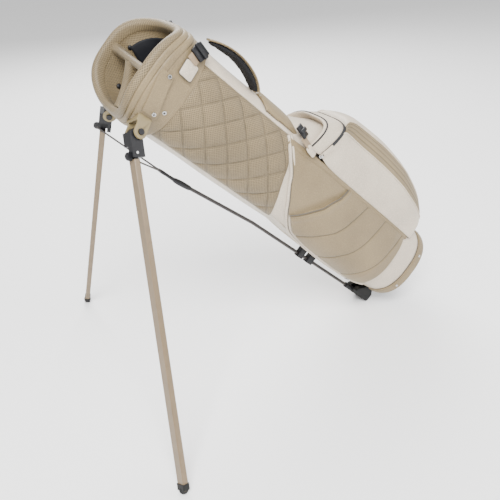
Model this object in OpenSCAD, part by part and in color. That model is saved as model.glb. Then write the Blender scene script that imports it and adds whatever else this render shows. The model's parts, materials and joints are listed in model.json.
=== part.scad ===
// Golf stand bag: a soft club bag on a moulded cuff and base, held up by two folding legs.
// Everything is drawn along the bag's own axis, then leaned over onto its legs and toe.
// In the bag's own frame +X is the back, -Y the near side, and Z runs from base to mouth.

/* [Posture] */
// Lean of the bag's axis from vertical, degrees
lean = 46.4; // [44:0.2:48]
// Distance along X from the base's centre to the origin, mm
origin_x = 347.95; // [330:0.05:370]

/* [Body] */
// Half depth of the fabric tube, front to back
body_a = 98; // [94:1:100]
// Half width of the fabric tube, side to side
body_b = 93; // [90:1:96]
// Height of the cuff's lower edge above the base
cuff_z = 795; // [790:1:800]
// Mean height of the mouth's rim
rim_z = 884; // [880:1:890]
// Rise of the rim at the two sides
rim_saddle = 19; // [10:1:22]
// Extra height of the rim on the far side
rim_tilt = 11; // [0:1:12]

/* [Stand] */
// Swing of a leg from folded to open, degrees
leg_swing = 57.25; // [55:0.25:58]
// Splay of each leg's swing plane from straight ahead, degrees
splay = 30.66; // [28:0.02:32]
// Radius of the leg hinge pin
hinge_r = 3; // [2.5:0.1:3.5]
// Width of the oval leg tube
leg_w = 19; // [17:0.5:20]
// Thickness of the oval leg tube
leg_t = 12; // [11:0.5:13]
// Radius of the actuator rod
rod_r = 4; // [3.5:0.1:4.2]
// Drop of the rod as the legs fold
rod_travel = 47.5; // [46:0.1:48]

/* [Hidden] */
$fn = 48;

fit = 0.3;               // gap between separate solids
shape_e = 2.5;           // exponent of the rounded section
wall = 2.5;              // thickness of the fabric tube
base_a = 99;             // half size of the base, front to back
base_b = 98.5;
base_h = 24;             // height of the base cup's wall
liner_z = 72;            // lower end of the fabric tube, on the cup's collar
toe_r = 6.5;             // radius of the toe's nose
toe_x = -126;            // centre of the toe's nose
toe_z = -6;
notch_back = -66;        // rear edge of the base's opening for the toe
notch_half = 29.2;       // and its half width
// the nose of the toe just touches the floor
lift = toe_r - (toe_x * sin(lean) + toe_z * cos(lean));

// leg hinge, on the near side
hinge = [-104.5, -87.1, 831.5];
leg_off = 10.6;          // leg axis in front of the hinge, leg folded
tube_top = 47;           // start of the tube below the hinge
tip_r = 9;               // round end of the rubber tip
tip_len = 21;
hinge_up = lift + hinge[0] * sin(lean) + hinge[2] * cos(lean);
// unit direction of the open leg, and of the offset from hinge to leg axis
leg_dir = [-sin(leg_swing) * cos(splay), -sin(leg_swing) * sin(splay), -cos(leg_swing)];
off_dir = [-cos(leg_swing) * cos(splay), -cos(leg_swing) * sin(splay), sin(leg_swing)];
leg_fall = -(leg_dir[0] * sin(lean) + leg_dir[2] * cos(lean));
off_rise = off_dir[0] * sin(lean) + off_dir[2] * cos(lean);
leg_len = tip_r + (hinge_up + leg_off * off_rise - tip_r) / leg_fall;
crank = [22.3, -4.6, -41.2]; // wire joint from the hinge, leg folded

// actuator rod, in the plane of symmetry
rod_x = -127;
rod_bend_z = 440;
rod_top_x = -143;
rod_top_z = 668;
toe_hinge = [-90, 0, 12.5];
toe_arm = toe_hinge[0] - rod_x;
toe_up = atan(rod_travel / 2 / toe_arm);
rod_pin_z = toe_hinge[2] + rod_travel / 2;
yoke_z = 709;
yoke_gap = 4;            // wires' spacing at the yoke, half
wire_r = 1.8;
fork_gap = 4.6;          // from a wire's end to the lug beside it on the leg's head
ear_in = 12.4;           // inner and outer face of the leg bracket's two ears
ear_out = 17.4;

// dividers, pockets and zippers
bar_t = 13;              // thickness of a padded divider bar
cloth_t = 1.6;           // thickness of the divider cloth under it
split_x = 164;           // seam between the ball pocket and its gusset
zip_a = [76, 461.5];     // ends of the valuables zipper's straight run
zip_b = [136, 443.5];
zip_tilt = atan((zip_a[1] - zip_b[1]) / (zip_b[0] - zip_a[0]));

// shoulder strap, an arch that stands off the back
strap_c = [64, 739];
strap_rx = 66;
strap_rz = 99;
strap_w = 46;
strap_y = -46;

// ---- shared shapes ----

// point of the rounded section; 0 is the back, 90 the near side, 180 the front
function se(phi, a, b) =
    [a * power(cos(phi), 2 / shape_e), -b * power(sin(phi), 2 / shape_e)];
function ring(a, b, n = 48) = [for (i = [0:n - 1]) se(360 * i / n, a, b)];
function at(phi, off, z) = concat(se(phi, body_a + off, body_b + off), [z]);
function power(v, e) = sign(v) * pow(abs(v), e);
// direction of the section's outward normal
function turn(phi) = atan2(-power(sin(phi), 1.2) / body_b, power(cos(phi), 1.2) / body_a);
function lerp(a, b, t) = a + (b - a) * t;
function flat(v) = [for (row = v) for (p = row) p];
function rim(phi) = rim_z - rim_saddle * cos(2 * phi) - rim_tilt * sin(phi) - 3 * cos(phi);

// closed solid between an outer and an inner grid of points
module slab(outer, inner, wrap = false) {
    n = len(outer) - (wrap ? 0 : 1);
    rows = len(outer);
    m = len(outer[0]) - 1;
    half = rows * (m + 1);
    function o(i, j) = (i % rows) * (m + 1) + j;
    function q(i, j) = half + o(i, j);
    quads = concat(
        [for (i = [0:n - 1]) for (j = [0:m - 1]) [o(i, j), o(i + 1, j), o(i + 1, j + 1), o(i, j + 1)]],
        [for (i = [0:n - 1]) for (j = [0:m - 1]) [q(i, j), q(i, j + 1), q(i + 1, j + 1), q(i + 1, j)]],
        [for (i = [0:n - 1]) [o(i + 1, 0), o(i, 0), q(i, 0), q(i + 1, 0)]],
        [for (i = [0:n - 1]) [o(i, m), o(i + 1, m), q(i + 1, m), q(i, m)]],
        wrap ? [] : [for (j = [0:m - 1]) [o(0, j), o(0, j + 1), q(0, j + 1), q(0, j)]],
        wrap ? [] : [for (j = [0:m - 1]) [o(n, j + 1), o(n, j), q(n, j), q(n, j + 1)]]);
    tris = [for (f = quads) each [[f[0], f[1], f[2]], [f[0], f[2], f[3]]]];
    polyhedron(points = concat(flat(outer), flat(inner)), faces = tris);
}

// panel on the tube between two angles, with its lower and upper edge as functions of angle
module panel(from, to, low, high, inner, outer, n = 12, m = 4) {
    slab([for (i = [0:n]) let (p = lerp(from, to, i / n)) [for (j = [0:m])
              at(p, outer(i / n, j / m), lerp(low(p), high(p), j / m))]],
         [for (i = [0:n]) let (p = lerp(from, to, i / n)) [for (j = [0:m])
              at(p, inner, lerp(low(p), high(p), j / m))]]);
}

module tube_section(a, b, z, h) translate([0, 0, z]) linear_extrude(h) polygon(ring(a, b));
module posed() translate([origin_x, 0, lift]) rotate([0, -lean, 0]) children();
module far() mirror([0, 1, 0]) children();
module both() {
    children();
    far() children();
}
// the leg hinge: X points out, Y along the pin, Z up the bag
module hinge_frame() translate(hinge) rotate([0, 0, 180 + splay]) children();
module open_leg() hinge_frame() rotate([0, -leg_swing, 0]) children();
// a place on the tube's wall, with Z turned to point straight out of it
module on_wall(phi, off, z) translate(at(phi, off, z)) rotate([0, 90, turn(phi)]) children();
module across(r, from, to) translate([0, from, 0]) rotate([-90, 0, 0]) cylinder(r = r, h = to - from);

// ---- base ----

// cup with a collar that stands up inside the fabric tube
module base_cup() color([0.70, 0.64, 0.55]) posed() difference() {
    union() {
        tube_section(base_a, base_b, 0, base_h);
        tube_section(body_a - 4.5, body_b - 4.5, 0, liner_z - fit);
    }
    difference() {
        tube_section(base_a - 4, base_b - 4, 4, base_h);
        tube_section(body_a - 4.5, body_b - 4.5, 0, base_h + 10);
    }
    tube_section(body_a - 4.5 - wall, body_b - 4.5 - wall, 4, 90);
    toe_notch();
}
// opening in the base's front for the toe lever and its bracket
module toe_notch() translate([-150, -notch_half, -10]) cube([150 + notch_back, 2 * notch_half, 80]);

// dark plate under the base, cut back around the toe
module base_plate() color([0.16, 0.16, 0.18]) posed() difference() {
    tube_section(base_a - 2, base_b - 2, -3.2, 3.1);
    toe_notch();
}

module base_rivets() color("silver") posed() both() for (p = [68, 114])
    on_wall(p, 5.9, 10) cylinder(r = 3.5, h = 1.8);

// ---- fabric tube and its inner frame ----

module body_liner() color([0.16, 0.17, 0.22]) posed() difference() {
    tube_section(body_a - 4.5, body_b - 4.5, liner_z, cuff_z + 8 - liner_z);
    tube_section(body_a - 4.5 - wall, body_b - 4.5 - wall, liner_z - 1, cuff_z + 10);
}

module stay_rods() color("silver") posed() both() for (p = [42, 138])
    translate(concat(se(p, body_a - 11.5, body_b - 11.5), [4.3])) cylinder(r = 3.5, h = cuff_z + 30);

module skirt_panel() color([0.83, 0.80, 0.76]) posed() slab(
    [for (i = [0:35]) [for (j = [0:2]) at(10 * i, lerp(1.2, 5, j / 2), lerp(base_h + fit, 88, j / 2))]],
    [for (i = [0:35]) [for (j = [0:2]) at(10 * i, -3.6, lerp(base_h + fit, 88, j / 2))]], true);

module front_panel() color([0.86, 0.85, 0.83]) posed()
    panel(152.5, 207.5, function (p) 88.5, function (p) cuff_z - fit, -4.2, function (u, v) 1.5, 8, 4);

module back_panel() color([0.83, 0.80, 0.76]) posed()
    panel(-47.5, 47.5, function (p) 441, function (p) cuff_z - fit, -4.2, function (u, v) 1.5, 10, 3);

// the quilted panel's slanting lower edge
function quilt_low(p) = lerp(556, 404, pow((p - 48) / 104, 1.1));
module quilted_panel() color([0.72, 0.66, 0.56]) posed()
    panel(48, 152, function (p) quilt_low(p), function (p) cuff_z - fit, -4.2,
          function (u, v) 1.5 + 2.5 * sin(180 * u) * min(1, 4 * v) * min(1, 4 * (1 - v)), 14, 6);
module quilted_panel_near() quilted_panel();
module quilted_panel_far() far() quilted_panel();

// the side pocket, full in its middle
module apparel_pocket() color([0.72, 0.66, 0.56]) posed()
    panel(58, 152, function (p) 88.5, function (p) quilt_low(p) - 3, -4.2,
          function (u, v) 3 + 18 * pow(sin(180 * min(1, 0.12 + 0.88 * u)), 0.6) * pow(sin(180 * v), 0.5),
          14, 8);
module apparel_pocket_near() apparel_pocket();
module apparel_pocket_far() far() apparel_pocket();

// the cream edge strips that run down beside the front panel
module pocket_piping() color([0.83, 0.80, 0.76]) posed() both()
    panel(153, 168, function (p) 92, function (p) 380, 1.8, function (u, v) 12 * sin(180 * u) + 2.2, 4, 4);

// ---- cuff and mouth ----

module cuff_shell() color([0.68, 0.63, 0.53]) posed() slab(
    [for (i = [0:35]) [for (j = [0:3]) let (t = j / 3)
        at(10 * i, lerp(2.5, 7.5, t), lerp(cuff_z, rim(10 * i) - 12.3, t))]],
    [for (i = [0:35]) [for (j = [0:3]) let (t = j / 3)
        at(10 * i, lerp(-1.5, 3.5, t), lerp(cuff_z, rim(10 * i) - 12.3, t))]], true);

// the padded roll around the mouth
module rim_pad() color([0.73, 0.67, 0.57]) posed() slab(
    [for (i = [0:35]) [for (j = [0:3]) at(10 * i, [9, 11, 10, 4][j], rim(10 * i) + [-12, -7, -1, 4][j])]],
    [for (i = [0:35]) [for (j = [0:3]) at(10 * i, [2, -6, -7, -3][j], rim(10 * i) + [-12, -7, -1, 4][j])]],
    true);

// padded dividers across the mouth, with their cloth hanging to the base
module divider_bar() color([0.73, 0.67, 0.57]) posed() {
    translate([-bar_t / 2, 0, 0]) rotate([90, 0, 90]) linear_extrude(height = bar_t)
        polygon([[-84, 848], [84, 864], [84, 899], [-84, 882]]);
    translate([-cloth_t / 2, 0, 0]) rotate([90, 0, 90]) linear_extrude(height = cloth_t)
        polygon([[-84, 60], [84, 60], [84, 865], [-84, 849]]);
}
module half_divider() color([0.73, 0.67, 0.57]) posed() {
    translate([0, bar_t / 2, 0]) rotate([90, 0, 0]) linear_extrude(height = bar_t)
        polygon([[-88.5, 840], [-7, 854], [-7, 887], [-88.5, 863]]);
    translate([0, cloth_t / 2, 0]) rotate([90, 0, 0]) linear_extrude(height = cloth_t)
        polygon([[-84, 60], [-7, 60], [-7, 855], [-84, 842]]);
}
module divider_screws() color([0.10, 0.10, 0.11]) posed() far() {
    on_wall(79, -4.6, 872) cylinder(r = 5, h = 4);
    on_wall(121, -4.6, 850) cylinder(r = 5, h = 4);
}

// ---- leg brackets ----

// moulded arm that follows the cuff down to the leg bracket
module cuff_arm() color([0.62, 0.57, 0.44]) posed()
    panel(84, 120, function (p) lerp(838, 816, (p - 84) / 36), function (p) lerp(866, 849, (p - 84) / 36),
          7.2, function (u, v) 11, 8, 1);
module cuff_arm_near() cuff_arm();
module cuff_arm_far() far() cuff_arm();

module cuff_screws() color("silver") posed() both() for (s = [[86, 846, 11.3], [110, 811, 4.3], [116, 827, 11.3]])
    on_wall(s[0], s[2], s[1]) cylinder(r = 4, h = 2);

module leg_bracket() color([0.62, 0.57, 0.44]) posed() difference() {
    hinge_frame() {
        for (y = [ear_in, -ear_out]) {
            translate([-46, y, -13]) cube([46, ear_out - ear_in, 26]);
            across(13, y, y + ear_out - ear_in);
        }
        translate([-46, -ear_out, 13]) cube([30, 2 * ear_out, 4]);
    }
    tube_section(body_a + 7.8, body_b + 7.8, 780, 100);
    hinge_frame() across(hinge_r + 0.05, -ear_out - 1, ear_out + 1);
}
module leg_bracket_near() leg_bracket();
module leg_bracket_far() far() leg_bracket();

module hinge_pins() color([0.12, 0.12, 0.13]) posed() both() hinge_frame() {
    across(hinge_r, -ear_out - 0.2, ear_out + 0.2);
    across(6, ear_out + fit, ear_out + 3);
    across(6, -ear_out - 3, -ear_out - fit);
}

// ---- legs, drawn folded in their own frame and swung open ----

module leg_section(grow) intersection() {
    square([leg_t + 2 * grow, leg_w + 2 * grow], center = true);
    circle(r = leg_w / 2 + 0.8 + grow);
}

module leg_head() color([0.13, 0.13, 0.14]) posed() open_leg() difference() {
    union() {
        across(11, -12, 12);
        translate([-6, -12, -44]) cube([26, 24, 46]);
        translate([leg_off, 0, -62]) linear_extrude(20) leg_section(-1.8);
        // lug beside the wire's end
        translate([0, crank[1] + fork_gap, 0]) {
            translate([crank[0], 0, crank[2]]) across(8, 0, 4);
            translate([18, 0, crank[2] - 8]) cube([crank[0] - 18, 4, 16]);
        }
    }
    across(hinge_r + 0.06, -13, 13);
    // pocket for the wire's end, open towards the rod
    translate([2, -20, crank[2] - 24]) cube([42, 20 + crank[1] + fork_gap, 42]);
}
module leg_head_near() leg_head();
module leg_head_far() far() leg_head();

module leg_tube() color([0.64, 0.58, 0.49]) posed() open_leg() translate([leg_off, 0, 0]) difference() {
    translate([0, 0, -leg_len + 8]) linear_extrude(leg_len - 8 - tube_top) leg_section(0);
    translate([0, 0, -leg_len + 7]) linear_extrude(leg_len) leg_section(-1.5);
}
module leg_tube_near() leg_tube();
module leg_tube_far() far() leg_tube();

module leg_tip() color([0.08, 0.08, 0.08]) posed() open_leg() translate([leg_off, 0, 0]) difference() {
    union() {
        translate([0, 0, -leg_len + tip_r]) sphere(r = tip_r);
        translate([0, 0, -leg_len + tip_r]) linear_extrude(tip_len - tip_r) leg_section(1.5);
    }
    translate([0, 0, -leg_len + 7.7]) linear_extrude(tip_len) leg_section(fit / 2);
}
module leg_tip_near() leg_tip();
module leg_tip_far() far() leg_tip();

module leg_rivet() color("silver") posed() open_leg() translate([leg_off, 0, -36])
    across(2.5, 12.1, 13.6);
module leg_rivet_near() leg_rivet();
module leg_rivet_far() far() leg_rivet();

// ---- actuator rod and yoke ----

module actuator_rod() color([0.27, 0.25, 0.25]) posed() {
    rise = rod_top_z - 40 - rod_bend_z;
    tilt = atan((rod_top_x - rod_x) / (rod_top_z - rod_bend_z));
    translate([rod_x, 0, 70]) cylinder(r = rod_r, h = rod_bend_z - 70);
    translate([rod_x, 0, rod_bend_z]) sphere(r = rod_r);
    translate([rod_x, 0, rod_bend_z]) rotate([0, tilt, 0]) cylinder(r = rod_r, h = rise);
}
module rod_sleeve() color([0.10, 0.10, 0.11]) posed() {
    tilt = atan((rod_top_x - rod_x) / (rod_top_z - rod_bend_z));
    translate([rod_x, 0, rod_bend_z]) rotate([0, tilt, 0]) translate([0, 0, 188.6])
        cylinder(r = 5.5, h = 38);
}
module yoke_block() color([0.16, 0.15, 0.15]) posed() difference() {
    translate([rod_top_x - 5, -yoke_gap - 4.5, rod_top_z]) cube([10, 2 * yoke_gap + 9, 42]);
    for (y = [-yoke_gap, yoke_gap]) translate([rod_top_x, y, yoke_z]) sphere(r = 3.1);
    translate([rod_top_x - 6, -yoke_gap, yoke_z]) cube([12, 2 * yoke_gap, 10]);
    for (y = [-yoke_gap, yoke_gap]) translate([rod_top_x, y, yoke_z]) cylinder(r1 = 3.1, r2 = 4.4, h = 3);
}
module rod_end() color([0.10, 0.10, 0.11]) posed() translate([rod_x, 0, 0]) {
    translate([0, 0, rod_pin_z]) difference() {
        union() {
            across(7, -6, 6);
            cylinder(r = 6.8, h = 69.7 - rod_pin_z);
        }
        across(2.56, -8, 8);
    }
}

// pin through the rod's end that rides in the toe lever's slots
module cross_pin() color("silver") posed() translate([rod_x, 0, rod_pin_z]) across(2.5, -18, 18);

// spring wire from the yoke to the leg's crank
module yoke_wire() color([0.30, 0.28, 0.28]) posed() {
    c = crank;
    s = leg_swing;
    x = c[0] * cos(s) - c[2] * sin(s);
    z = c[0] * sin(s) + c[2] * cos(s);
    tip = hinge + [-cos(splay) * x + sin(splay) * c[1], -sin(splay) * x - cos(splay) * c[1], z];
    start = [rod_top_x, -yoke_gap, yoke_z];
    v = tip - start;
    far_end = norm(v) - 2;
    translate(start) rotate([0, acos(v[2] / far_end), atan2(v[1], v[0])]) {
        sphere(r = 2.8);
        cylinder(r = wire_r, h = far_end);
        translate([0, 0, far_end]) sphere(r = 2.4);
    }
}
module yoke_wire_near() yoke_wire();
module yoke_wire_far() far() yoke_wire();

module rod_guide(z, h) posed() difference() {
    translate([rod_x - 8, -8, z]) cube([-rod_x + 8 - body_a - 1.8, 16, h]);
    translate([rod_x, 0, z - 1]) cylinder(r = rod_r + 1.2, h = h + 2);
}
module rod_guide_upper() color([0.10, 0.10, 0.11]) rod_guide(256, 18);
module rod_guide_lower() color([0.10, 0.10, 0.11]) rod_guide(219, 20);

// ---- toe ----

module toe_bracket() color([0.10, 0.10, 0.11]) posed() difference() {
    union() {
        for (y = [23.5, -28.5]) translate(toe_hinge) {
            across_at(y, 5, 8);
            translate([-2, y, -12]) cube([24, 5, 20]);
        }
        // cross plate and the flange that is screwed to the floor of the cup
        translate([toe_hinge[0] + 18, -28.5, 0.5]) cube([4, 57, 20]);
        translate([toe_hinge[0] + 18, -28.5, 4.3]) cube([30, 57, 3]);
    }
    translate(toe_hinge) across(2.55, -30, 30);
}
module across_at(y, w, r) across(r, y, y + w);

module toe_pin() color("silver") posed() translate(toe_hinge) across(2.5, -28.4, 28.4);

module toe_lever() color([0.08, 0.08, 0.08]) posed() difference() {
    union() {
        side_cut(23) {
            polygon([[-133, -6], [-133, 38], [-124, 46], [-114, 40], [-102, 24], [-92, 20], [-84, 12],
                     [-96, -2], [-110, -12.5], [-126, -12.5]]);
            translate([toe_hinge[0], toe_hinge[2]]) circle(r = 9);
        }
        translate([toe_x, 0, toe_z]) across(toe_r, -23, 23);
    }
    translate(toe_hinge) across(2.56, -24, 24);
    // channel for the rod's end, open to the top and front
    translate([-140, -8, 20]) cube([40, 16, 40]);
    // slot that carries the rod's cross pin
    translate(toe_hinge) rotate([0, 180 + toe_up, 0]) slot_cut();
}
module slot_cut() {
    near_end = toe_arm - 2;
    far_end = toe_arm / cos(toe_up) + 1;
    for (x = [near_end, far_end]) translate([x, 0, 0]) across(4, -19, 19);
    translate([near_end, -19, -4]) cube([far_end - near_end, 38, 8]);
}

// ---- pockets on the back ----

module ball_profile() polygon([[66, 92], [66, 456], [100, 448], [140, 436], [158, 431], [176, 441],
    [189, 428], [202, 402], [207, 366], [210, 328], [213, 287], [212, 242], [208, 191], [199, 158],
    [186, 122], [170, 92], [150, 76], [120, 70], [104, 70], [104, 92]]);
module side_cut(profile_y) translate([0, profile_y, 0]) rotate([90, 0, 0])
    linear_extrude(2 * profile_y) children();
module ball_section() translate([0, 0, 20]) linear_extrude(450) polygon([
    [66, 86], [130, 89], [150, 86], [164, 76], [186, 60], [202, 40], [214, 0], [202, -40], [186, -60],
    [164, -76], [150, -86], [130, -89], [66, -86]]);
module back_room() tube_section(body_a + 5.4, body_b + 5.4, 0, 700);

module ball_pocket() color([0.83, 0.80, 0.76]) posed() difference() {
    intersection() {
        side_cut(100) ball_profile();
        ball_section();
    }
    back_room();
    translate([split_x - fit, -90, 0]) cube([60, 180, 500]);
}
module ball_pocket_gusset() color([0.70, 0.63, 0.54]) posed() intersection() {
    side_cut(100) ball_profile();
    ball_section();
    translate([split_x, -90, 0]) cube([60, 180, 500]);
}

module valuables_profile() polygon([[66, 464], [66, 532], [92, 548], [116, 530], [134, 505],
    [150, 480], [161, 456], [165, 440], [157, 434.5], [140, 438.5], [100, 450.5]]);
module valuables_pocket() color([0.83, 0.80, 0.77]) posed() difference() {
    intersection() {
        side_cut(100) valuables_profile();
        translate([0, 0, 400]) linear_extrude(170) polygon([[60, 84], [100, 88], [140, 85], [158, 66],
            [168, 34], [170, 0], [168, -34], [158, -66], [140, -85], [100, -88], [60, -84]]);
    }
    tube_section(body_a + 4.5, body_b + 4.5, 400, 160);
    translate([60, -90, 528]) cube([50, 180, 80]);
    // room for the lower buckles, which lie on the lid's shoulders
    both() translate([50, -98, 484]) cube([54, 50, 80]);
}

// zipper tape along the pocket's lower edge, on both sides
module zip_place(d) translate([zip_a[0], 0, zip_a[1]]) rotate([0, zip_tilt, 0])
    translate([d, 0, 0]) children();
module valuables_zipper() color([0.08, 0.08, 0.09]) posed() both() zip_place(0)
    translate([0, -89.8, -5]) cube([62, 1.4, 10]);

module valuables_slider() color("silver") posed() zip_place(4) {
    translate([-5, -93.4, -4]) cube([10, 3.3, 8]);
    difference() {
        translate([-2.5, -97, -3]) cube([5, 3.8, 6]);
        translate([0, -95.4, 0]) cylinder(r = 1.05, h = 9, center = true);
    }
}
module valuables_pull() color([0.83, 0.80, 0.76]) posed() zip_place(4) translate([0, -95.4, 0]) {
    cylinder(r = 1, h = 10, center = true);
    for (z = [-5, 3.2]) translate([-1, -1.1, z]) cube([7, 2.2, 1.8]);
    translate([5.5, -1.1, -5]) cube([28, 2.2, 10]);
}

module apparel_slider() color("silver") posed()
    on_wall(160, 15.8, 120) translate([-12, -3, 0]) cube([12, 6, 4]);
module apparel_slider_near() apparel_slider();
module apparel_slider_far() far() apparel_slider();

// ---- back pad and shoulder straps ----

module back_pad() color([0.70, 0.64, 0.54]) posed() panel(-40, 40, function (p) 566 - abs(p) * 0.3,
    function (p) 632 + abs(p) * 0.2, 1.8, function (u, v) 3 + 5 * sin(180 * u), 10, 3);

function arch(t, off) = [strap_c[0] + (strap_rx + off) * cos(t), strap_c[1] + (strap_rz + off) * sin(t)];
module arch_band(t0, t1, inner, outer) polygon(concat(
    [for (i = [0:20]) arch(lerp(t0, t1, i / 20), outer)],
    [for (i = [20:-1:0]) arch(lerp(t0, t1, i / 20), inner)]));
module strap_cover() color([0.72, 0.66, 0.55]) posed() translate([0, strap_y + strap_w / 2, 0])
    rotate([90, 0, 0]) linear_extrude(strap_w) arch_band(-55, 43.5, -1.5, 1.5);
module strap_pad() color([0.09, 0.09, 0.10]) posed() translate([0, strap_y + strap_w / 2 - 1.5, 0])
    rotate([90, 0, 0]) linear_extrude(strap_w - 3) arch_band(-50, 41, -12, -1.8);

// the second strap lies down over the far side
module far_strap() color([0.72, 0.66, 0.55]) posed() far() panel(44, 70,
    function (p) lerp(650, 640, (p - 44) / 26), function (p) lerp(800, 770, (p - 44) / 26),
    6.5, function (u, v) 16, 6, 5);

// upper buckles, webbing loops and their sewn tabs
module upper_buckles() color([0.13, 0.13, 0.15]) posed() both()
    panel(35, 49, function (p) 808, function (p) 838, 7.2, function (u, v) 18, 4, 1);
module upper_tabs() color([0.84, 0.82, 0.79]) posed() both()
    panel(51, 79, function (p) 806, function (p) 838, 7.2, function (u, v) 9.7, 6, 1);

module lower_buckles() color([0.13, 0.13, 0.15]) posed() both()
    panel(31, 44, function (p) 512, function (p) 546, 6.5, function (u, v) 12.5, 4, 1);
module lower_tabs() color([0.74, 0.66, 0.54]) posed() both()
    panel(45.5, 56, function (p) 489, function (p) 518, 6.5, function (u, v) 9, 3, 1);

base_cup();
base_plate();
base_rivets();
body_liner();
stay_rods();
skirt_panel();
front_panel();
back_panel();
quilted_panel_near();
quilted_panel_far();
apparel_pocket_near();
apparel_pocket_far();
pocket_piping();
cuff_shell();
rim_pad();
divider_bar();
half_divider();
divider_screws();
cuff_screws();
cuff_arm_near();
cuff_arm_far();
leg_bracket_near();
leg_bracket_far();
hinge_pins();
leg_head_near();
leg_head_far();
leg_tube_near();
leg_tube_far();
leg_tip_near();
leg_tip_far();
leg_rivet_near();
leg_rivet_far();
actuator_rod();
rod_sleeve();
yoke_block();
rod_end();
yoke_wire_near();
yoke_wire_far();
rod_guide_upper();
rod_guide_lower();
toe_lever();
toe_pin();
toe_bracket();
ball_pocket();
ball_pocket_gusset();
valuables_pocket();
valuables_zipper();
valuables_slider();
valuables_pull();
back_pad();
strap_cover();
strap_pad();
far_strap();
upper_buckles();
upper_tabs();
lower_buckles();
lower_tabs();
apparel_slider_near();
apparel_slider_far();
cross_pin();
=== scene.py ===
import json
import bmesh
import bpy
import numpy as np
from mathutils import Matrix


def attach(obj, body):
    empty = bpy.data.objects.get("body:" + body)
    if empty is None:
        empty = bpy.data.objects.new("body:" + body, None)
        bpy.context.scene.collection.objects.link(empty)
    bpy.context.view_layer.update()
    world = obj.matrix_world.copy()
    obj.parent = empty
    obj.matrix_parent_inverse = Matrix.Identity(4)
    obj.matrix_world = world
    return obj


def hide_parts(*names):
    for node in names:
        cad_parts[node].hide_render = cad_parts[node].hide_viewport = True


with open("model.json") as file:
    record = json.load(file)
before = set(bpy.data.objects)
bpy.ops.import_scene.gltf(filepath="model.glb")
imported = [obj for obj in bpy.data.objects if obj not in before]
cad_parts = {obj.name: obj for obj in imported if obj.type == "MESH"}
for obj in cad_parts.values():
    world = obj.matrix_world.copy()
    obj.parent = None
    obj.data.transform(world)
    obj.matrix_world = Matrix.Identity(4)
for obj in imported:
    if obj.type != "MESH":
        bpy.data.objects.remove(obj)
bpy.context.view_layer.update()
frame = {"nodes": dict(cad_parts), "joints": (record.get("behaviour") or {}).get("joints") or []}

# ---- Boot of the base ----
# A moulded tub closes the bag's bottom, with a leatherette band glued and riveted round it and a
# dark plate under it. Everything on the bag is measured along the bag, in millimetres out of its
# back, to the far side and up from the base, then leaned over as the stand holds it.

joints = {joint["name"]: joint for joint in frame["joints"]}
UP_BAG = -np.array(joints["rod_slide"]["axis"], float)
OUT_BACK = np.array([UP_BAG[2], 0.0, -UP_BAG[0]])
FAR_SIDE = np.array([0.0, 1.0, 0.0])
BASE_CENTRE = np.array(joints["toe_drop"]["pos_m"], float) + 0.090 * OUT_BACK - 0.0125 * UP_BAG
BODY_DEPTH, BODY_WIDTH = 98.0, 93.0
TUB_DEPTH, TUB_WIDTH = 99.0, 98.5
CORNER_POWER = 0.8


def leaned(points):
    """Bag millimetres to the standing bag in metres: base centre + out + side + along."""
    p = np.asarray(points, float) / 1000
    return BASE_CENTRE + p[..., :1] * OUT_BACK + p[..., 1:2] * FAR_SIDE + p[..., 2:3] * UP_BAG


def unit(vectors):
    """Vectors divided by their own lengths."""
    return vectors / np.linalg.norm(vectors, axis=-1, keepdims=True)


def cos_sin(angle):
    """Cosine and sine of an angle in degrees."""
    return np.cos(np.radians(angle)), np.sin(np.radians(angle))


def signed(value, power):
    """Sign of the value times its size raised to a power."""
    return np.sign(value) * np.abs(value) ** power


def wall(angle, off, height, depth=BODY_DEPTH, width=BODY_WIDTH):
    """Rounded-square section: depth * cos^0.8 and width * sin^0.8, grown by off; 0 is the back."""
    c, s = cos_sin(angle)
    x = (depth + off) * signed(c, CORNER_POWER)
    y = -(width + off) * signed(s, CORNER_POWER)
    return np.stack(np.broadcast_arrays(x, y, height), -1).astype(float)


def outward(angle):
    """Unit normal of the section: cos^1.2 over its depth and sin^1.2 over its width, made one long."""
    c, s = cos_sin(angle)
    power = 2 - CORNER_POWER
    return unit(np.stack([signed(c, power) / BODY_DEPTH, -signed(s, power) / BODY_WIDTH, 0 * c], -1))


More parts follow.
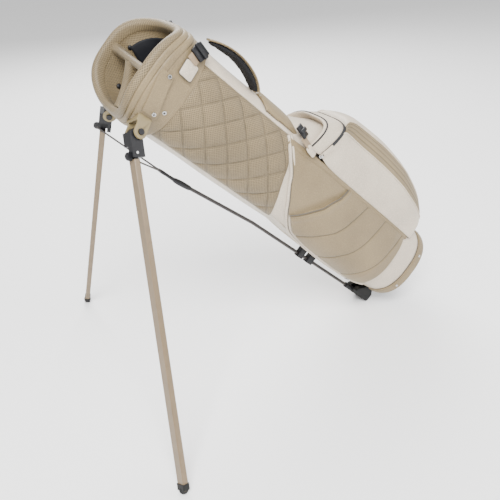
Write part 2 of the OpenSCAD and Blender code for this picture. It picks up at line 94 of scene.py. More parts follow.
def build(name, grid, finish, slot, body="root", around=False, closed=False, uv=None,
          thick=0.0, flip=False, seam=None, instead=()):
    """Mesh of quads over one (n, m) grid of points, or over k such grids.

    around joins the last row to the first; closed joins each row into a ring and caps both ends.
    """
    grid = np.asarray(grid, float)
    many = grid if grid.ndim == 4 else grid[None]
    k, n, m = many.shape[:3]
    i, j = np.meshgrid(np.arange(n - (not around)), np.arange(m - (not closed)), indexing="ij")
    corners = np.stack([np.stack([i, j]), np.stack([i, j + 1]), np.stack([i + 1, j + 1]),
                        np.stack([i + 1, j])], -1).reshape(2, -1, 4)
    if flip:
        corners = corners[:, :, ::-1]
    one = (corners[0] % n) * m + corners[1] % m
    faces = (one[None] + (np.arange(k) * n * m)[:, None, None]).reshape(-1, 4).tolist()
    if closed:
        first, last = np.arange(m), np.arange(m)[::-1] + (n - 1) * m
        for start in range(0, k * n * m, n * m):
            faces += [(first + start).tolist(), (last + start).tolist()]
    mesh = bpy.data.meshes.new(name)
    mesh.from_pydata(leaned(many).reshape(-1, 3).tolist(), [], faces)
    if uv is not None:
        spot = uv[corners[0], corners[1]].reshape(-1, 2)
        if closed:
            spot = np.concatenate([spot, uv[0, :m], uv[-1, :m][::-1]])
        mesh.uv_layers.new(name="UVMap").data.foreach_set("uv", spot.astype(np.float32).ravel())
    # The seam attribute holds how far the colour is darkened at each point: painted shade in grooves and
    # creases.
    if seam is not None:
        groove_shade = mesh.attributes.new("seam", "FLOAT", "POINT")
        groove_shade.data.foreach_set("value", np.asarray(seam, np.float32).ravel())
    if closed:
        shell = bmesh.new()
        shell.from_mesh(mesh)
        bmesh.ops.recalc_face_normals(shell, faces=shell.faces)
        shell.to_mesh(mesh)
        shell.free()
    mesh.shade_smooth()
    mesh.set_sharp_from_angle(angle=0.9)
    mesh.materials.append(finish)
    piece = bpy.data.objects.new(name, mesh)
    bpy.context.scene.collection.objects.link(piece)
    if thick:
        skin = piece.modifiers.new("thickness", "SOLIDIFY")
        skin.thickness, skin.offset = thick / 1000, -1
    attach(piece, body)
    if instead:
        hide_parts(*instead)
    return piece


def node(tree, kind, settings=None, output=0, **inputs):
    """One shader node; inputs are values or the outputs of earlier nodes, named by socket."""
    made = tree.nodes.new("ShaderNode" + kind)
    for key, value in (settings or {}).items():
        setattr(made, key, value)
    for key, value in inputs.items():
        key = int(key[1:]) if key[0] == "i" and key[1:].isdigit() else key.replace("_", " ")
        if isinstance(value, bpy.types.NodeSocket):
            tree.links.new(value, made.inputs[key])
        else:
            made.inputs[key].default_value = value
    return made.outputs[output]


def maths(tree, operation, first, second):
    """first operation second, as one Math node."""
    return node(tree, "Math", {"operation": operation}, i0=first, i1=second)


def blank(name, **sockets):
    """New material with its Principled shader's sockets set; returns it, its tree and the shader."""
    material = bpy.data.materials.new(name)
    material.use_nodes = True
    shader = material.node_tree.nodes["Principled BSDF"]
    for key, value in sockets.items():
        shader.inputs[key.replace("_", " ")].default_value = value
    return material, material.node_tree, shader


def between(tree, share, low, high):
    """A number that goes from low to high as share goes from 0 to 1."""
    return node(tree, "MapRange", To_Min=low, To_Max=high, Value=share)


def tinted(tree, share, dark, light):
    """A colour mixed from dark to light by share."""
    mix = tree.nodes.new("ShaderNodeMix")
    mix.data_type = "RGBA"
    mix.inputs["A"].default_value, mix.inputs["B"].default_value = (*dark, 1), (*light, 1)
    tree.links.new(share, mix.inputs["Factor"])
    return mix.outputs["Result"]


def linked(made, gloss, height, strength, distance, colour=None):
    """Links what blank made to its roughness, its bump by a height, and its colour."""
    material, tree, shader = made
    bump = node(tree, "Bump", Height=height, Strength=strength, Distance=distance)
    for socket, value in (("Roughness", gloss), ("Normal", bump), ("Base Color", colour)):
        if value is not None:
            tree.links.new(value, shader.inputs[socket])
    return material


def darker(colour, share):
    """Each channel of a colour times share."""
    return tuple(share * channel for channel in colour)


def leatherette(name, colour, grain=620, holes=False, roughness=0.52):
    """Coated leather: pebbled grain, soft blotches and creases; holes adds punched rows on the UV. The seam
    attribute darkens the colour as painted shade in grooves and creases, and the punched holes are darkened
    as painted shade.
    """
    made = blank(name, Specular_IOR_Level=0.42, Sheen_Weight=0.06, Sheen_Roughness=0.5)
    tree = made[1]
    place = node(tree, "TexCoord", output=3)
    pebble = node(tree, "TexVoronoi", {"feature": "SMOOTH_F1"}, Vector=place, Scale=grain)
    crease = node(tree, "TexNoise", Vector=place, Scale=150, Detail=4, Roughness=0.6)
    blotch = node(tree, "TexNoise", Vector=place, Scale=9, Detail=3)
    height = maths(tree, "ADD", pebble, maths(tree, "MULTIPLY", crease, 0.7))
    tone = maths(tree, "ADD", maths(tree, "MULTIPLY", blotch, 0.7), maths(tree, "MULTIPLY", pebble, 0.5))
    # The seam attribute darkens the colour here: painted shade in grooves and creases.
    groove_shade = node(tree, "Attribute", {"attribute_name": "seam"}, output=2)
    tone = maths(tree, "SUBTRACT", tone, maths(tree, "MULTIPLY", groove_shade, 0.9))
    gloss = between(tree, blotch, roughness - 0.07, roughness + 0.09)
    if holes:
        spot = node(tree, "TexCoord", output=2)
        turned = node(tree, "Mapping", Vector=spot, Rotation=(0, 0, np.pi / 4))
        punch = node(tree, "TexVoronoi", {"voronoi_dimensions": "2D"}, Vector=turned,
                     Scale=2.9, Randomness=0.0)
        solid = node(tree, "MapRange", {"interpolation_type": "SMOOTHSTEP"}, Value=punch,
                     From_Min=0.2, From_Max=0.36)
        height = maths(tree, "ADD", height, maths(tree, "MULTIPLY", solid, 4.0))
        # The punched holes are darkened as painted shade in them.
        tone = maths(tree, "SUBTRACT", tone, maths(tree, "MULTIPLY",
                     maths(tree, "SUBTRACT", 1.0, solid), 2.4))
    shade = tinted(tree, tone, darker(colour, 0.32), darker(colour, 1.22))
    return linked(made, gloss, height, 0.45, 0.00035, shade)


def moulded(name, colour, roughness=0.42, texture=900, coat=0.0):
    """Moulded nylon: a fine spark texture and slight handling marks in the gloss."""
    made = blank(name, Specular_IOR_Level=0.35, Coat_Weight=coat, Coat_Roughness=0.2)
    tree = made[1]
    place = node(tree, "TexCoord", output=3)
    spark = node(tree, "TexNoise", Vector=place, Scale=texture, Detail=2)
    marks = node(tree, "TexNoise", Vector=place, Scale=45, Detail=5, Roughness=0.65)
    shade = tinted(tree, marks, darker(colour, 0.8), darker(colour, 1.25))
    return linked(made, between(tree, marks, roughness - 0.1, roughness + 0.14), spark, 0.25, 0.0002, shade)


def metal(name, colour, roughness, scratch=300):
    """Bright metal with fine scratches in its gloss."""
    made = blank(name, Base_Color=(*colour, 1), Metallic=1.0)
    tree = made[1]
    place = node(tree, "TexCoord", output=3)
    scuff = node(tree, "TexNoise", Vector=place, Scale=scratch, Detail=6, Roughness=0.7)
    return linked(made, between(tree, scuff, roughness - 0.08, roughness + 0.14), scuff, 0.08, 0.0001)


def dress(names, finish, edge=0.5):
    """Gives solid parts their finish, and breaks their sharp edges with a small bevel."""
    for name in names:
        part = frame["nodes"][name]
        if not part.data.materials:
            part.data.materials.append(finish)
        for holder in part.material_slots:
            holder.material = finish
        if edge:
            weld = part.modifiers.new("joined", "WELD")
            weld.merge_threshold = 0.00001
            bevel = part.modifiers.new("broken_edges", "BEVEL")
            bevel.width, bevel.segments = edge / 1000, 2
            bevel.limit_method, bevel.angle_limit = "ANGLE", 0.7
            bevel.use_clamp_overlap = True


def buttons(name, centres, normals, radius, height, finish, slot, instead=()):
    """Domed heads: each is a round profile, radius by height, turned about its own normal."""
    share = np.array([[0.02, 1.0], [0.35, 0.98], [0.65, 0.86], [0.88, 0.58], [1.0, 0.2], [1.0, -0.3]])
    centres, normals = np.asarray(centres, float), np.asarray(normals, float)
    helper = np.where(np.abs(normals[:, 2:]) < 0.8, [[0.0, 0.0, 1.0]], [[1.0, 0.0, 0.0]])
    first = unit(np.cross(normals, helper))
    second = np.cross(normals, first)
    t = np.linspace(0, 2 * np.pi, 24, endpoint=False)
    spoke = first[:, None] * np.cos(t)[:, None] + second[:, None] * np.sin(t)[:, None]
    grid = (centres[:, None, None] + radius * share[:, 0][:, None, None] * spoke[:, None]
            + height * share[:, 1][:, None, None] * normals[:, None, None])
    build(name, grid, finish, slot, closed=True, instead=instead)


def stitches(name, path, normal, finish, slot, long=2.9, pitch=4.2, radius=0.5):
    """Row of thread beads: small ellipsoids set along a path at an even pitch."""
    path, normal = np.asarray(path, float), np.asarray(normal, float)
    gone = np.concatenate([[0], np.cumsum(np.linalg.norm(np.diff(path, axis=0), axis=-1))])
    at = np.arange(pitch / 2, gone[-1], pitch)
    spot = np.stack([np.interp(at, gone, path[:, c]) for c in range(3)], -1)
    out = np.stack([np.interp(at, gone, normal[:, c]) for c in range(3)], -1)
    along = np.stack([np.interp(at + 0.5, gone, path[:, c]) for c in range(3)], -1) - spot
    along /= np.maximum(np.linalg.norm(along, axis=-1, keepdims=True), 1e-6)
    beside = np.cross(along, out)
    lon, ring = np.linspace(-0.92, 0.92, 5), np.linspace(0, 2 * np.pi, 6, endpoint=False)
    fat = radius * np.sqrt(1 - lon**2)
    grid = (spot[:, None, None] + (lon * long / 2)[None, :, None, None] * along[:, None, None]
            + (fat[:, None] * np.cos(ring))[None, ..., None] * beside[:, None, None]
            + (fat[:, None] * np.sin(ring))[None, ..., None] * out[:, None, None])
    build(name, grid, finish, slot, closed=True)


TAN = (0.225, 0.167, 0.086)
tan_leather = leatherette("tan_leatherette", TAN)
tan_skin = (tan_leather, "tan_leather")  # a finish and its slot
tan_thread = moulded("tan_thread", (0.24, 0.185, 0.11), 0.6, 2000)
dark_tub = moulded("dark_tub", (0.016, 0.016, 0.018), 0.55)
bright_steel = metal("bright_steel", (0.45, 0.445, 0.435), 0.24)

NOTCH_ANGLE = 166.0  # the band stops on each side of the toe lever's notch in front
band_angle = np.linspace(-NOTCH_ANGLE, NOTCH_ANGLE, 121)
band_profile = np.array([[0.3, -0.6], [1.5, -0.2], [2.2, 1.6], [2.5, 6], [2.6, 12], [2.5, 18],
                         [2.2, 22], [1.4, 23.8], [0.3, 24.4]])
band = wall(band_angle[:, None], band_profile[:, 0], band_profile[:, 1], TUB_DEPTH, TUB_WIDTH)
build("boot_band", band, tan_leather, "boot_leather", thick=1.2)
stitches("boot_stitch", wall(band_angle, 2.7, 20.5, TUB_DEPTH, TUB_WIDTH), outward(band_angle), tan_thread,
         "boot_leather")
dress(["base_cup"], dark_tub, 0.8)
dress(["base_plate"], dark_tub, 1.0)

RIVET_ANGLES = np.array([20.0, 68.0, 114.0, -114.0, -68.0, -20.0])
RIVET_RADIUS, RIVET_RISE = 3.6, 1.7
buttons("boot_rivets", wall(RIVET_ANGLES, 2.6, 11.0, TUB_DEPTH, TUB_WIDTH), outward(RIVET_ANGLES),
        RIVET_RADIUS, RIVET_RISE, bright_steel, "steel", instead=["base_rivets"])

# ---- Skins of the fabric tube ----
# Leatherette panels are sewn edge to edge over a woven tube: a pale strip in front, a cream one
# behind, and a quilted, punched and padded flank on each side. Each edge is turned under.

FLANK_FROM, FLANK_TO = 48.0, 152.0
SEAM_GAP = 0.5
CUFF_HEM = 793.0
PANEL_SINK = 2.0
fine = np.linspace(0, 360, 3601)
SKIN_OFF = 3.0
steps = np.linalg.norm(np.diff(wall(fine, SKIN_OFF, 0.0), axis=0), axis=-1)
girth_table = np.concatenate([[0], np.cumsum(steps)])


def girth(angle):
    """Length around the tube from the middle of the back to an angle, in millimetres."""
    turns = np.floor(np.asarray(angle, float) / 360)
    return np.interp(np.asarray(angle, float) - 360 * turns, fine, girth_table) + turns * girth_table[-1]


def dense_ends(count, edge):
    """Shares from 0 to 1, evenly spaced but with extra rows in the first and last edge share."""
    turn = edge * np.array([0.0, 0.12, 0.35, 0.65])
    return np.concatenate([turn, np.linspace(edge, 1 - edge, count), 1 - turn[::-1]])


def turned_edge(share, edge):
    """Quarter-circle rise from 0 at a panel's edge to 1 a little way in, at both ends."""
    near = np.clip(np.minimum(share, 1 - share) / edge, 0, 1)
    return np.sqrt(1 - (1 - near) ** 2)


def panel(name, start, stop, low, high, lift, finish, slot, count=(48, 60), puff=None, instead=(),
          mirror=False, seam=None, fold=2.6):
    """Sewn panel: angle from start to stop, height from low to high, off the tube by lift + puff."""
    ends = np.array([start, stop])
    u = dense_ends(count[0], fold / abs(girth(stop) - girth(start)))[:, None]
    v = dense_ends(count[1], fold / np.mean(high(ends) - low(ends)))
    angle = start + (stop - start) * u + 0 * v
    height = low(angle) + (high(angle) - low(angle)) * v
    rise = turned_edge(u, u[4, 0]) * turned_edge(v, v[4])
    off = -PANEL_SINK + (lift + PANEL_SINK) * rise
    if puff is not None:
        off = off + puff(angle, height, u, v) * rise
    points = wall(angle, off, height)
    spread = np.stack([girth(angle), height], -1) / 10
    if mirror:
        points[..., 1] *= -1
    # seam gives painted shade: how far the colour is darkened along the panel's grooves.
    groove_shade = None if seam is None else seam(angle, height, u, v)
    return build(name, points, finish, slot, uv=spread, thick=1.2, flip=mirror, seam=groove_shade,
                 instead=instead)


def level_edge(height):
    """Edge of a panel that keeps one height at every angle."""
    return lambda angle: height + 0 * angle


def slack(angle, height, u, v):
    """Long shallow folds between seams: two slow sines along the bag and a quick small one."""
    fold = 1.1 * np.sin(height / 61 + angle / 23) * np.sin(height / 143 + 1.3) + 0.3 * np.sin(
        height / 23 - angle / 9)
    return fold * np.sin(np.pi * u) ** 0.7


def quilt_low(angle):
    """Lower edge of the quilted flank: falls from its back seam to its front one, share^0.9."""
    share = np.clip((np.abs(angle) - FLANK_FROM) / (FLANK_TO - FLANK_FROM), 0, 1)
    return QUILT_BACK_FOOT - QUILT_FOOT_FALL * share**0.9


QUILT_BACK_FOOT, QUILT_FOOT_FALL = 556, 106
QUILT_PITCH, QUILT_RISE, GROOVE_HALF = 43.0, 5.4, 1.6


def diamonds(angle, height):
    """Distance in the two slanting directions, as shares of the quilt's pitch."""
    around, along = girth(np.abs(angle)), height
    return (around + along) / np.sqrt(2) / QUILT_PITCH, (around - along) / np.sqrt(2) / QUILT_PITCH


def quilt_puff(angle, height, u, v):
    """Pillows between two crossing rows of stitches: root of |sin| times |sin|."""
    first, second = diamonds(angle, height)
    flat_edge = np.clip(np.minimum(u, 1 - u) / 0.09, 0, 1) * np.clip(np.minimum(v, 1 - v) / 0.05, 0, 1)
    return QUILT_RISE * np.sqrt(np.abs(np.sin(np.pi * first) * np.sin(np.pi * second))) * flat_edge + 0.4


def quilt_groove_shade(angle, height, u, v):
    """Painted shade along the quilting grooves: 1 in a row of quilting stitches, falling to 0 within two
    millimetres.
    """
    first, second = diamonds(angle, height)
    gap = np.minimum(np.abs(first - np.round(first)), np.abs(second - np.round(second))) * QUILT_PITCH
    return 0.42 * np.exp(-(gap / GROOVE_HALF) ** 2)


CREAM = (0.60, 0.515, 0.405)
cream_leather = leatherette("cream_leatherette", CREAM, roughness=0.47)
cream_skin = (cream_leather, "cream_leather")
white_leather = leatherette("pale_leatherette", (0.58, 0.515, 0.42), roughness=0.45)
punched_tan = leatherette("punched_tan_leatherette", TAN, holes=True)

FRONT_FOOT, BACK_FOOT, SKIN_LIFT, FLANK_LIFT = 80, 440, 2.2, 2.0
panel("front_strip", FLANK_TO + SEAM_GAP, 360 - FLANK_TO - SEAM_GAP, level_edge(FRONT_FOOT),
      level_edge(CUFF_HEM), SKIN_LIFT, white_leather, "white_leather", (40, 200), slack, ["front_panel"])
panel("back_skin", -FLANK_FROM + SEAM_GAP, FLANK_FROM - SEAM_GAP, level_edge(BACK_FOOT),
      level_edge(CUFF_HEM), SKIN_LIFT, *cream_skin, (48, 120), slack, ["back_panel"])
for side, mirror in (("near", False), ("far", True)):
    flank = panel("quilted_flank_" + side, FLANK_FROM, FLANK_TO, quilt_low, level_edge(CUFF_HEM),
                  FLANK_LIFT, punched_tan, "tan_perforated", (110, 220), quilt_puff,
                  ["quilted_panel_" + side], mirror, quilt_groove_shade)

skirt_turn = np.linspace(0, 360, 144, endpoint=False)
skirt_rows = np.array([[0.0, 22.0], [0.4, 30], [0.9, 44], [1.6, 60], [2.6, 76], [3.4, 88], [2.6, 92],
                       [0, 93]])
skirt_depth = TUB_DEPTH + skirt_rows[:, 0]
skirt_width = TUB_WIDTH - 1.6 + 0.4 * skirt_rows[:, 0]
skirt_points = wall(skirt_turn[:, None], 0.0, skirt_rows[:, 1], skirt_depth, skirt_width)
build("skirt", skirt_points, *cream_skin, around=True, thick=1.2, instead=["skirt_panel"])

# ---- Side pockets ----
# Each flank has a full-height pocket that swells forward. A cream double tape with its zipper runs
# down its front, an open slip pocket with a turned lip lies on it, and three rows of stitches
# quilt its lower part.

TAPE_ANGLE = np.array([50.0, 63, 77, 89, 103, 123, 142, 151, 155.5, 159, 161, 160, 152])
TAPE_HEIGHT = np.array([549.0, 536, 517, 494, 468, 436, 392, 331, 269, 201, 130, 96, 74])
TAPE_OFF = np.array([4.0, 4.5, 5, 6, 7.5, 9, 11.5, 14, 15.5, 16, 14, 11, 7])
LIP_ANGLE = np.array([60.0, 67, 77, 89, 99, 117])
LIP_HEIGHT = np.array([340.0, 345, 354, 375, 402, 440])
SEAM_ANGLE, LIP_FRONT_ANGLE = 59.0, 117
SLIP_FOOT, SLIP_TOP = 84, 440
PANEL_FROM = SEAM_ANGLE + 1


def carried(path, normal, profile):
    """Profile of (across, out) pairs carried along a path: path + across * side + out * normal."""
    path, normal = np.asarray(path, float), np.asarray(normal, float)
    run = np.gradient(path, axis=0)
    side = unit(np.cross(run, normal))
    profile = np.asarray(profile, float)[None]
    return path[:, None] + profile[..., :1] * side[:, None] + profile[..., 1:] * normal[:, None]


def circle(radius, count=10):
    """Closed ring of (across, out) pairs: radius times the cosine and the sine of an angle."""
    t = np.linspace(0, 2 * np.pi, count, endpoint=False)
    return radius * np.stack([np.cos(t), np.sin(t)], -1)


def smooth_through(count, *columns):
    """Points evenly spread by length along a smooth curve through the given columns of values."""
    knots = np.stack(columns, -1).astype(float)
    at = np.arange(len(knots), dtype=float)
    t = np.linspace(0, len(knots) - 1, 40 * len(knots))
    k = np.clip(t.astype(int), 0, len(knots) - 2)
    f = (t - k)[:, None]
    slope = np.gradient(knots, at, axis=0)
    curve = ((2 * f**3 - 3 * f**2 + 1) * knots[k] + (f**3 - 2 * f**2 + f) * slope[k]
             + (-2 * f**3 + 3 * f**2) * knots[k + 1] + (f**3 - f**2) * slope[k + 1])
    gone = np.concatenate([[0], np.cumsum(np.linalg.norm(np.diff(curve, axis=0), axis=-1))])
    even = np.linspace(0, gone[-1], count)
    return [np.interp(even, gone, curve[:, c]) for c in range(curve.shape[1])]


def pocket_swell(angle, height):
    """How far the pocket stands off the tube: full at the front, flat at its back and hems."""
    forward = np.clip((angle - 58) / 60, 0, 1)
    fullness = 9.5 + 7.5 * np.sin(np.pi / 2 * forward) ** 1.5
    return 2.0 + (fullness - 2) * np.clip((height - 74) / 60, 0, 1) ** 0.5 * np.clip(
        (560 - height) / 130, 0, 1) ** 0.6


def lower_patch(u, v):
    """The slip pocket's panel: left edge on the seam, top on the lip, right edge along the tape."""
    edge_height = SLIP_FOOT + (SLIP_TOP - SLIP_FOOT) * v
    right = np.interp(edge_height, TAPE_HEIGHT[::-1], TAPE_ANGLE[::-1]) - 3.0
    top = np.interp(PANEL_FROM + (LIP_FRONT_ANGLE - PANEL_FROM) * u, LIP_ANGLE, LIP_HEIGHT)
    bottom = 93 - 9 * u**6
    corner = 1 - 0.045 * u * np.clip(1 - v / 0.06, 0, 1) ** 2
    return (PANEL_FROM + (right - PANEL_FROM) * u) * corner, bottom + (top - bottom) * v


ROWS = ((0.04, 0.2), (0.36, 0.17), (0.66, 0.17))  # where each row starts, and how far it rises


def row_gap(u, v):
    """Least distance, in shares of the panel's height, to one of its curved rows of stitches."""
    return np.min([np.abs(v - (start + rise * u**0.7)) for start, rise in ROWS], axis=0)


coil_tape = moulded("grey_brown_coil", (0.10, 0.085, 0.065), 0.6, 1400)


def side_pocket(side, mirror):
    """Both panels and the tape of one side pocket, and the seam band behind it."""
    way = np.array([1.0, -1.0 if mirror else 1.0, 1.0])
    u, v = dense_ends(70, 0.02)[:, None], dense_ends(130, 0.012)
    angle, height = lower_patch(u, v)
    rise = turned_edge(u, 0.02) * turned_edge(v, 0.012)
    gap = row_gap(u, v + 0 * u)
    lip_roll = 2.4 * np.exp(-((v - 0.975) / 0.02) ** 2)
    swell = pocket_swell(angle, height) + lip_roll - 1.9 * np.exp(-(gap / 0.008) ** 2)
    off = -1 + (swell + 2.6 + 1.6 * np.sin(np.pi * u)) * rise
    points = wall(angle, off, height) * way
    # The seam values darken the colour along the three stitched rows as painted shade in their grooves.
    lower = build("slip_pocket_" + side, points, *tan_skin, thick=1.4, flip=mirror,
                  seam=0.75 * np.exp(-(gap / 0.0045) ** 2) * rise, instead=["apparel_pocket_" + side])
    angle = np.linspace(PANEL_FROM, LIP_FRONT_ANGLE + 1.5, 60)
    lip = np.interp(angle, LIP_ANGLE, LIP_HEIGHT)[:, None]
    tape = np.interp(angle, TAPE_ANGLE, TAPE_HEIGHT)[:, None]
    v = np.linspace(0, 1, 50)
    height = lip - 26 + (tape - lip + 26) * v
    tuck = 6.0 * np.exp(-(np.clip(height - lip, 0, 200) / 22) ** 2)
    off = pocket_swell(angle[:, None], height) + 1.2 - tuck * np.sin(np.pi * (angle[:, None] - 59) / 61)
    off = off - 3.0 * np.sin(np.pi * v) * np.sin(np.pi * (angle[:, None] - 60) / 59) ** 2
    build("pocket_face_" + side, wall(angle[:, None], off, height) * way, *tan_skin,
          thick=1.2, flip=mirror)
    # A thin dark tube in the zipper coil's finish lies in the slip pocket's slit as painted shade in its
    # mouth.
    slit = np.interp(angle, LIP_ANGLE, LIP_HEIGHT) + 1.0
    inner = wall(angle, pocket_swell(angle, slit) + 2.6, slit) * way
    build("slip_pocket_slit_shade_" + side, carried(inner, outward(angle) * way, circle(1.5, 8)), coil_tape,
          "zipper_tape", closed=True)
    a, h, o = smooth_through(150, TAPE_ANGLE, TAPE_HEIGHT, TAPE_OFF)
    ridge = np.linspace(-1, 1, 21)
    bead = np.sqrt(np.clip(1 - (2 * np.abs(ridge) - 1) ** 2, 0, 1))
    profile = np.stack([7.4 * ridge, 3.8 * bead], -1)
    profile = np.concatenate([profile, [[7.0, -2.5], [-7.0, -2.5]]])
    run = carried(wall(a, o, h) * way, outward(a) * way, profile)
    # middle darkens the colour along the groove between the tape's two ridges, as painted shade.
    middle = np.exp(-(np.append(ridge, [1, 1]) / 0.12) ** 2) + 0 * run[..., 0]
    build("pocket_tape_" + side, run, *cream_skin, closed=True, seam=middle,
          instead=["pocket_piping"] if not mirror else ())
    coil = carried(wall(a, o + 0.9, h) * way, outward(a) * way, circle(1.15, 8))
    build("pocket_coil_" + side, coil, coil_tape, "zipper_tape", closed=True)
    a, h = np.linspace(70, 152.5, 60)[:, None], np.linspace(0, 1, 14)
    low, high = np.interp(a, TAPE_ANGLE, TAPE_HEIGHT) - 4, quilt_low(a) + 2
    rise = np.interp(a, TAPE_ANGLE, TAPE_OFF)
    off = rise + (1.2 - rise) * h**0.8
    build("tape_gusset_" + side, wall(a, off, low + (high - low) * h) * way, *cream_skin,
          thick=1.0, flip=mirror)
    h, v = np.linspace(76, 462, 70)[:, None], np.linspace(0, 1, 12)
    edge = np.where(h > 385, 146.0, np.interp(h, TAPE_HEIGHT[::-1], TAPE_ANGLE[::-1]))
    stand = np.interp(h, TAPE_HEIGHT[::-1], TAPE_OFF[::-1]) * np.clip((464 - h) / 90, 0, 1) ** 0.7
    a = edge + (170 - edge) * v
    off = 1.0 + (stand - 1.0) * np.cos(np.pi / 2 * v) ** 0.8
    build("front_gusset_" + side, wall(a, off, h) * way, white_leather, "white_leather",
          thick=1.0, flip=not mirror)
    h = np.linspace(88, 548, 120)
    band = np.stack([8.0 * np.linspace(-1, 1, 13), 2.4 * (1 - np.linspace(-1, 1, 13) ** 4)], -1)
    band = np.concatenate([band, [[7.5, -3], [-7.5, -3]]])
    a = np.full_like(h, SEAM_ANGLE - 1.5)
    run = carried(wall(a, pocket_swell(a + 1.5, h) + 1.5, h) * way, outward(a) * way, band)
    build("seam_band_" + side, run, *tan_skin, closed=True)
    for row, shift in (("front", 4.4), ("back", -4.4)):
        line = wall(a + shift / 1.7, pocket_swell(a + 1.5, h) + 3.9, h) * way
        stitches("seam_stitch_%s_%s" % (row, side), line, outward(a) * way, tan_thread, "tan_leather")
    lip_line = np.interp(angle, LIP_ANGLE, LIP_HEIGHT) - 7.0
    stitches("lip_stitch_" + side, wall(angle, pocket_swell(angle, lip_line) + 4.6, lip_line) * way,
             outward(angle) * way, tan_thread, "tan_leather")


side_pocket("near", False)
side_pocket("far", True)

# ---- Ball pocket ----
# The big pocket on the back: two cream side panels, a creased tan gusset between two beads of
# piping and a cream back, sewn into one swelling shell over foam.

POCKET_ROOT = 56.0
BALL_OUT = np.array([172.0, 183, 193, 203, 207.5, 210.5, 212.5, 211, 206, 197, 184, 168, 150, 112])
BALL_HEIGHT = np.array([428.0, 426.5, 419, 398, 366, 328, 287, 242, 191, 155, 117, 87, 74, 71])
BALL_HALF = np.array([91.0, 92, 92.5, 93, 93.5, 94, 94, 94, 94, 94, 93.5, 92, 88, 78])
BALL_POWER = np.array([4.0, 3.6, 3.1, 2.6, 2.4, 2.35, 2.3, 2.3, 2.3, 2.3, 2.35, 2.4, 2.6, 2.8])
SIDE_SEAM, BACK_SEAM = 37.0, 64.0
ZIP_SLOPE = 0.30
BEAD_RADIUS, TURNED_SHARE, SEAM_SINK = 1.9, 0.03, 1.8
ball_out, ball_height, ball_half, ball_power = smooth_through(120, BALL_OUT, BALL_HEIGHT, BALL_HALF,
                                                             BALL_POWER)


def ball_shell(turn, grow=0.0):
    """Pocket section: a superellipse from the near flank (turn 0) over the back to the far one."""
    c, s = cos_sin(turn)
    power = 2 / ball_power[:, None]
    x = POCKET_ROOT + (ball_out[:, None] + grow - POCKET_ROOT) * np.abs(s) ** power
    y = -(ball_half[:, None] + grow) * signed(c, power)
    share = np.clip((ball_height[:, None] - 250) / 180, 0, 1)
    return np.stack([x, y, ball_height[:, None] + share**2 * ZIP_SLOPE * (ball_out[:, None] - x)], -1)


def ball_normals(points):
    """Unit normals of a grid of points: cross product of its two gradients."""
    return unit(np.cross(np.gradient(points, axis=0), np.gradient(points, axis=1)))


def ball_part(name, start, stop, finish, slot, dent=None, instead=(), count=60, seam=None):
    """Part of the pocket's shell between two seams, its edges turned in."""
    share = dense_ends(count, TURNED_SHARE)
    points = ball_shell(start + (stop - start) * share)
    sink = SEAM_SINK * (1 - turned_edge(share, TURNED_SHARE))[None, :, None]
    if dent is not None:
        sink = sink + dent(share, ball_height[:, None])[..., None]
    points = points - ball_normals(points) * sink
    # seam gives painted shade, darkening the colour in the gusset's creases.
    crease = None if seam is None else seam(share, ball_height[:, None])
    return build(name, points, finish, slot, thick=1.4, flip=True, instead=instead, seam=crease)


def side_slack(share, height):
    """Half a sine of fullness across the side panel, and quick sines as folds low on it."""
    low = np.clip((230 - height) / 120, 0, 1)
    return (0.7 * np.sin(height / 17 + 9 * share) * low - 1.6) * np.sin(np.pi * share)


def gusset_creases(share, height):
    """Three lengthwise creases in the gusset, each a narrow bell curve across it."""
    lines = [np.exp(-((share - place) / 0.03) ** 2) for place in (0.26, 0.5, 0.76)]
    return 1.3 * sum(lines) + 0 * height


def gusset_shade(share, height):
    """The creases again, as painted shade that darkens the colour in them."""
    return 0.35 * gusset_creases(share, height)


ball_part("ball_pocket_side_near", 3.0, SIDE_SEAM, *cream_skin, side_slack, ["ball_pocket"])
ball_part("ball_pocket_side_far", 180 - SIDE_SEAM, 177.0, *cream_skin, side_slack)
ball_part("ball_gusset_near", SIDE_SEAM, BACK_SEAM, *tan_skin, gusset_creases,
          ["ball_pocket_gusset"], seam=gusset_shade)
ball_part("ball_gusset_far", 180 - BACK_SEAM, 180 - SIDE_SEAM, *tan_skin, gusset_creases,
          seam=gusset_shade)
ball_part("ball_pocket_back", BACK_SEAM, 180 - BACK_SEAM, *cream_skin)
for name, turn in (("near_bead", SIDE_SEAM), ("near_back_bead", BACK_SEAM),
                   ("far_back_bead", 180 - BACK_SEAM), ("far_bead", 180 - SIDE_SEAM)):
    strip = ball_shell(np.array([turn - 2, turn, turn + 2]), 0.2)
    build("ball_" + name, carried(strip[:, 1], ball_normals(strip)[:, 1], circle(BEAD_RADIUS)),
          *cream_skin, closed=True)

# ---- Valuables pocket ----
# A domed lid closes the ball pocket's top. A black coil zipper runs round it, then a cream rim, a
# dark bound edge, and a panel that slopes up to the bag and tucks in under its back pad.

LID_OUT = np.array([172.5, 172, 169.5, 160, 149.5, 147, 145.5, 144.5])
LID_RISE = np.array([0.0, 6.0, 14, 27, 39.5, 38, 30, 20])
LID_HALF = np.array([92.5, 92.2, 91, 88.5, 85.5, 84, 82.5, 81.5])
PANEL_OUT = np.array([145.0, 139, 127, 113, 100.5])
PANEL_RISE = np.array([20.0, 26, 47, 73, 92])
PANEL_HALF = np.array([82.0, 81, 78, 74, 71])
LID_BASE, ZIP_OUT, BOUND_EDGE = 430.0, 172, 17
TAPE_HALF, TAPE_RISE, TAPE_SINK = 5.2, 0.45, -0.6


def lid_shell(out, rise, half, power, turn, count=30):
    """Superellipse sections as in the ball pocket, raised towards the bag by the zipper's slope."""
    out, rise, half, power = smooth_through(count, out, rise, half, power)
    c, s = cos_sin(turn)
    x = POCKET_ROOT + (out[:, None] - POCKET_ROOT) * np.abs(s) ** (2 / power[:, None])
    y = -half[:, None] * signed(c, 2 / power[:, None])
    z = LID_BASE + rise[:, None] + ZIP_SLOPE * (ZIP_OUT - x)
    return np.stack([x, y, z], -1)


